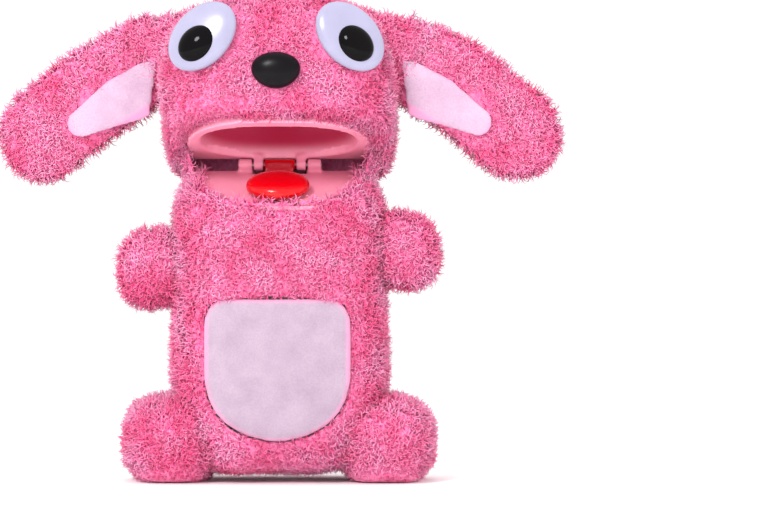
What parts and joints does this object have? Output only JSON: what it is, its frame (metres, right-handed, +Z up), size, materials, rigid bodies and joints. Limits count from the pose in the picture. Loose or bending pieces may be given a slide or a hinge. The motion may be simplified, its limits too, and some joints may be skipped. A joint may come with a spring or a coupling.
{
  "type": "moving mouth puppet",
  "caption": "Long-eared plush puppet with a hinged plastic mouth, worked by squeezing a sprung belly trigger that pulls the head back through a link rod.",
  "frame": {"origin": "centre of the overall box seen from above, on the plane of the soles", "axes": "+X to the viewer's right, the face looks along -Y, +Z up from the soles to the head"},
  "size_m": [0.2277, 0.0917, 0.195],
  "materials": {
    "pink_plush": "long curly plush pile, no shine",
    "pale_pile": "short smooth pile, soft sheen",
    "pink_plastic": "moulded, satin",
    "red_plastic": "moulded, glossy",
    "white_plastic": "moulded, satin gloss",
    "black_plastic": "moulded, high gloss",
    "grey_plastic": "moulded, unpainted",
    "washer_plastic": "moulded, unpainted",
    "steel": "plain",
    "filling": "polyester fibre fill"
  },
  "bodies": {
    "torso": {"front_casing": "grey_plastic", "rear_casing": "grey_plastic", "casing_screw_1": "steel", "casing_screw_2": "steel", "casing_screw_3": "steel", "casing_screw_4": "steel", "lower_jaw": "pink_plastic", "jaw_screw_left": "steel", "jaw_screw_right": "steel", "mouth_hinge_pin": "steel", "trigger_pivot_pin": "steel", "return_spring": "steel", "body_cover": "pink_plush", "body_stuffing": "filling", "left_leg": "pink_plush", "right_leg": "pink_plush"},
    "head": {"upper_jaw": "pink_plastic", "crank_pin": "steel", "head_cover": "pink_plush", "head_stuffing": "filling", "nose": "black_plastic", "nose_washer": "washer_plastic", "left_eye_white": "white_plastic", "left_eye_pupil": "black_plastic", "left_eye_washer": "washer_plastic", "right_eye_white": "white_plastic", "right_eye_pupil": "black_plastic", "right_eye_washer": "washer_plastic"},
    "tongue": {"tongue": "red_plastic"},
    "trigger": {"belly_trigger": "grey_plastic", "link_lower_pin": "steel", "belly_patch": "pale_pile"},
    "link": {"link_rod": "grey_plastic"},
    "left_ear": {"left_ear": "pink_plush", "left_ear_lining": "pale_pile"},
    "right_ear": {"right_ear": "pink_plush", "right_ear_lining": "pale_pile"},
    "left_arm": {"left_arm": "pink_plush"},
    "right_arm": {"right_arm": "pink_plush"}
  },
  "joints": [
    {"name": "belly_trigger_pivot", "type": "hinge", "parent": "torso", "child": "trigger", "pos_m": [0, -0.01372, 0.026], "axis": [-1, 0, 0], "range_deg": [-10, 1.43], "stiffness_Nm_per_rad": 0.08, "springref_deg": -14},
    {"name": "mouth_hinge", "type": "hinge", "parent": "torso", "child": "head", "pos_m": [0, 0.009, 0.128], "axis": [-1, 0, 0], "range_deg": [-35.1, 5.1]},
    {"name": "link_foot_pivot", "type": "hinge", "parent": "trigger", "child": "link", "pos_m": [0, 0.01769, 0.02365], "axis": [-1, 0, 0], "range_deg": [-1.5, 10.1]},
    {"name": "tongue_pivot", "type": "hinge", "parent": "torso", "child": "tongue", "pos_m": [0, 0.009, 0.128], "axis": [-1, 0, 0], "range_deg": [0, 6]},
    {"name": "left_ear_seam", "type": "hinge", "parent": "head", "child": "left_ear", "pos_m": [-0.0475, 0.003, 0.174], "axis": [0, 1, 0], "range_deg": [-18, 20]},
    {"name": "right_ear_seam", "type": "hinge", "parent": "head", "child": "right_ear", "pos_m": [0.0475, 0.003, 0.174], "axis": [0, -1, 0], "range_deg": [-18, 20]},
    {"name": "left_arm_seam", "type": "hinge", "parent": "torso", "child": "left_arm", "pos_m": [-0.044, 0, 0.089], "axis": [0, 1, 0], "range_deg": [-18, 18]},
    {"name": "right_arm_seam", "type": "hinge", "parent": "torso", "child": "right_arm", "pos_m": [0.044, 0, 0.096], "axis": [0, -1, 0], "range_deg": [-18, 18]}
  ],
  "couplings": [
    {"joint": "mouth_hinge", "follows": "belly_trigger_pivot", "ratio": 3.5},
    {"joint": "link_foot_pivot", "follows": "belly_trigger_pivot", "ratio": -1}
  ]
}
